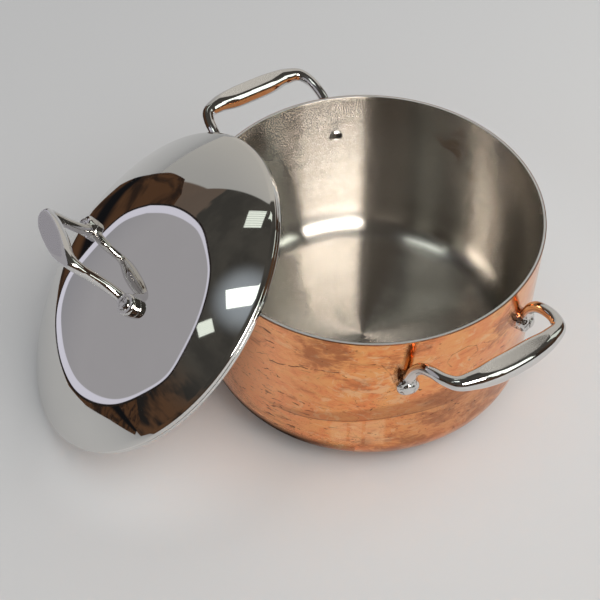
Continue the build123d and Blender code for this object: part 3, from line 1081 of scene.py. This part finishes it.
def make_reflector():
    side = Vector((0, 0, 1)).cross(REFLECTOR_AIM).normalized()
    up = REFLECTOR_AIM.cross(side)
    mid_a, mid_b = REFLECTOR_MIDDLE
    outline = [(a, b, 0.0) for a, b in REFLECTOR_OUTLINE + REFLECTOR_OUTLINE[:1]]
    smooth = smooth_through(outline, REFLECTOR_POINTS + 1)[:-1]
    points = [(mid_a, mid_b, 0.0)]
    shares = [0.0]
    for ring in REFLECTOR_RINGS:
        for a, b, _ in smooth:
            points.append((mid_a + (a - mid_a) * ring, mid_b + (b - mid_b) * ring, 0.0))
            shares.append(ring)
    faces = []
    for k in range(REFLECTOR_POINTS):
        n = (k + 1) % REFLECTOR_POINTS
        outer = (1 + k, 1 + n)
        inner = (1 + REFLECTOR_POINTS + k, 1 + REFLECTOR_POINTS + n)
        faces.append((0, *inner))
        faces.append((*outer, inner[1], inner[0]))
    panel = mesh_object("reflector", [tuple(v * MM for v in p) for p in points], faces)
    panel.data.attributes.new("share", "FLOAT", "POINT").data.foreach_set("value", shares)
    centre = LID_ORIGIN * MM + REFLECTOR_AIM * REFLECTOR_DISTANCE
    panel.matrix_world = placed(centre, side, up, REFLECTOR_AIM)
    mat, n, glow = new_material("reflector", "ShaderNodeEmission")
    share = n.attribute("share")
    a, b, _ = n.split(n.place())
    # shaded towards its lower corner, with a rim that narrows to the far side
    shade = n.ramp(n.plus(n.times(a, 0.7), n.times(b, 0.7)), 0.02, -0.10)
    face = n.mix(shade, REFLECTOR_FACE, REFLECTOR_SHADE)
    rim_from = n.ramp(n.plus(a, b), -0.02, 0.20, 0.90, 0.968)
    rim = n.ramp(n.minus(share, rim_from), 0.0, 0.015)
    edge = n.ramp(share, 1.004, 1.012)
    look = n.mix(edge, n.mix(rim, face, REFLECTOR_RIM), REFLECTOR_FRAME)
    n.join(look, glow, "Color")
    panel.data.materials.append(mat)
    glossy_only(panel)


# Foot of the dark drape behind the reflector, as places on the floor in metres
DRAPE = [
    (-2.40, 0.02), (-0.97, -0.057), (-0.387, -0.093), (-0.285, -0.125),
    (-0.255, -0.175), (-0.235, -0.235), (-0.190, -0.290), (-0.150, -0.340),
    (-0.145, -0.430), (-0.190, -0.750), (-0.33, -2.50),
]
DRAPE_H = 0.24
DRAPE_BLACK = (0.008, 0.008, 0.009, 1)
DRAPE_BROWN = (0.088, 0.044, 0.023, 1)
# Where on x the black part changes, from the lid outwards, and its height at the two ends
DRAPE_CHANGE = (-0.30, -1.20)
DRAPE_MIDDLE = (0.068, 0.165)


def make_drape():
    low = [(x, y, 0.0) for x, y in DRAPE]
    high = [(x, y, DRAPE_H) for x, y in DRAPE]
    count = len(DRAPE)
    faces = [(k, k + 1, count + k + 1, count + k) for k in range(count - 1)]
    drape = mesh_object("drape", low + high, faces)
    mat, n, glow = new_material("drape", "ShaderNodeEmission")
    # black across its middle, brown over it and near the lid under it too
    place = n.place()
    x, _, z = n.split(place)
    folds = n.noise(n.stretched(place, (1, 1, 2.0)), 8, 3, 0.6, 0.6)
    over = n.minus(z, n.ramp(x, *DRAPE_CHANGE, *DRAPE_MIDDLE))
    over = n.times(over, n.ramp(x, *DRAPE_CHANGE, 1.0, 0.42))
    above = n.ramp(over, 0.012, 0.030)
    below = n.times(n.ramp(over, -0.010, -0.030), n.ramp(x, -0.70, -0.40))
    brown = n.times(n.larger(above, below), n.ramp(folds, 0.38, 0.56, 0.25, 1.0))
    n.join(n.mix(brown, DRAPE_BLACK, DRAPE_BROWN), glow, "Color")
    drape.data.materials.append(mat)
    glossy_only(drape)


# Painted shadow: a dark card on the floor under the pot's round corner on the lid's side, seen only in
# reflections, where the copper mirrors it
GAP_RADII = (90.0, 137.0)
GAP_AZIMUTHS = (-150.0, -38.0)
GAP_STEPS = 48
GAP_Z = 0.2
GAP_SHADOW = (0.012, 0.010, 0.009, 1)
GAP_PALE = (0.34, 0.32, 0.31, 1)


def make_gap_shadow():
    points = []
    for k in range(GAP_STEPS + 1):
        azimuth = GAP_AZIMUTHS[0] + (GAP_AZIMUTHS[1] - GAP_AZIMUTHS[0]) * k / GAP_STEPS
        for radius in GAP_RADII:
            spot = direction(azimuth, 0) * radius * MM
            points.append((spot.x, spot.y, GAP_Z * MM))
    faces = [(2 * k, 2 * k + 1, 2 * k + 3, 2 * k + 2) for k in range(GAP_STEPS)]
    gap_shadow = mesh_object("gap_shadow", points, faces)
    mat, n, glow = new_material("gap_shadow", "ShaderNodeEmission")
    place = n.place()
    x, y, _ = n.split(place)
    middle = math.radians(sum(GAP_AZIMUTHS) / 2)
    reach = math.radians(GAP_AZIMUTHS[1] - GAP_AZIMUTHS[0]) / 2
    off_middle = n.unsigned(n.minus(n.math("ARCTAN2", y, x), middle))
    # the painted shadow is darkest in its middle and fades to a floor grey at its ends and outer rim
    ends = n.ramp(off_middle, reach * 0.55, reach)
    rim = n.ramp(n.length(place), 0.119, 0.137)
    n.join(n.mix(n.larger(ends, rim), GAP_SHADOW, GAP_PALE), glow, "Color")
    gap_shadow.data.materials.append(mat)
    glossy_only(gap_shadow)


# Windows of the room, by azimuth, elevation, half width, half height, turn in degrees, light
WINDOWS = [
    (28.0, 31.5, 6.0, 17.5, 0.0, 2.4),
    (179.0, 57.5, 4.0, 3.2, 42.0, 1.15),
    (164.5, 61.0, 2.0, 3.4, 54.0, 1.15),
    (-108.0, 67.5, 3.9, 8.6, -18.0, 2.2),
    (-103.5, 48.0, 2.7, 3.4, -16.0, 1.25),
    (75.0, 38.0, 9.0, 14.0, 0.0, 1.0),
]
WINDOW_TINT = (0.93, 1.0, 0.90)
WINDOW_EDGE = 0.94
WINDOW_SLATS = 24

# Room in two tones near the horizon and two overhead, a corner over the drape, a backdrop in two
# tones, the haze round the brightest window, and the even light that everything else gets
ROOM_LOW = ((0.018, 0.016, 0.015, 1), (0.105, 0.055, 0.030, 1))
ROOM_HIGH = ((0.050, 0.047, 0.042, 1), (0.072, 0.067, 0.058, 1))
ROOM_CORNER = (0.150, 0.112, 0.088, 1)
BACKDROP = ((0.42, 0.415, 0.40, 1), (0.58, 0.555, 0.51, 1))
HAZE = (0.30, 0.34, 0.38, 1)
FILL = (0.64, 0.645, 0.65, 1)
# Azimuth and elevation of the corner and the haze, and the backdrop's azimuth
CORNER_AT = (-173, 27)
HAZE_AT = (-107, 66)
BACKDROP_AZIMUTH = 145


def lay_window(n, toward, room, window):
    # one window with its slats, laid over the room
    azimuth, elevation, half_w, half_h, turn, light = window
    centre = direction(azimuth, elevation)
    side = Vector((0, 0, 1)).cross(centre).normalized()
    up = centre.cross(side)
    t = math.radians(turn)
    side, up = side * math.cos(t) + up * math.sin(t), up * math.cos(t) - side * math.sin(t)
    ahead = n.dot(toward, centre)
    a = n.math("DIVIDE", n.dot(toward, side), ahead)
    b = n.math("DIVIDE", n.dot(toward, up), ahead)
    w = math.tan(math.radians(half_w))
    h = math.tan(math.radians(half_h))
    pane = n.times(n.ramp(n.unsigned(a), w, w * WINDOW_EDGE), n.ramp(n.unsigned(b), h, h * WINDOW_EDGE))
    pane = n.times(pane, n.math("GREATER_THAN", ahead, 0.1))
    slats = n.ramp(n.math("SINE", n.times(a, WINDOW_SLATS / w)), -0.9, -0.2, 0.55, 1.0)
    return n.mix(n.times(pane, slats), room, (*(c * light for c in WINDOW_TINT), 1))


def make_world():
    world = bpy.data.worlds.new("studio")
    bpy.context.scene.world = world
    world.use_nodes = True
    n = Nodes(world.node_tree)
    toward = n.make("ShaderNodeTexCoord").outputs["Generated"]
    height = n.split(toward)[2]
    # dark room: brown near the horizon, grey overhead, broken up in patches
    patches = n.noise(n.stretched(toward, (2.2, 2.2, 5.0)), 1.6, 3, 0.6)
    low = n.mix(n.ramp(patches, 0.40, 0.60), *ROOM_LOW)
    high = n.mix(n.ramp(patches, 0.35, 0.65), *ROOM_HIGH)
    room = n.mix(n.ramp(height, 0.25, 0.62), low, high)
    # paler brown corner over the drape
    corner = n.times_plus(patches, 0.10, n.dot(toward, direction(*CORNER_AT)))
    corner = n.ramp(corner, 1.018, 1.030)
    room = n.mix(n.times(corner, 0.8), room, ROOM_CORNER)
    # pale backdrop behind the pot, its top edge falling towards the lid's side
    sideways = n.dot(toward, direction(BACKDROP_AZIMUTH + 90, 0))
    across = n.math("ARCTAN2", sideways, n.dot(toward, direction(BACKDROP_AZIMUTH, 0)))
    across = n.times(across, 180 / math.pi)
    rise = n.times(n.math("ARCSINE", height), 180 / math.pi)
    slant = n.times(n.larger(n.minus(rise, 30.0), 0.0), 0.55)
    left_edge = n.plus(across, slant)
    sheet = n.times(n.ramp(left_edge, 35.2, 34.4), n.ramp(left_edge, -42.0, -36.0))
    sheet = n.times(sheet, n.ramp(rise, 54.5, 53.0))
    room = n.mix(sheet, room, n.mix(n.ramp(across, 33.0, 6.0), *BACKDROP))
    for window in WINDOWS:
        room = lay_window(n, toward, room, window)
    haze = n.ramp(n.dot(toward, direction(*HAZE_AT)), 0.955, 1.0)
    room = n.mix(n.times(haze, haze), room, HAZE, "ADD")
    # reflections see the room, and everything else an even light
    mirrored = n.make("ShaderNodeLightPath").outputs["Is Glossy Ray"]
    seen = n.make("ShaderNodeBackground", {"Color": room}).outputs[0]
    fill = n.make("ShaderNodeBackground", {"Color": FILL}).outputs[0]
    light = n.make("ShaderNodeMixShader", {0: mirrored, 1: fill, 2: seen}).outputs[0]
    n.make("ShaderNodeOutputWorld", {"Surface": light})


make_pot()
make_camera()
make_floor()
make_key()
make_cloth()
make_reflector()
make_drape()
make_gap_shadow()
make_world()

bpy.context.scene.view_settings.view_transform = "Standard"
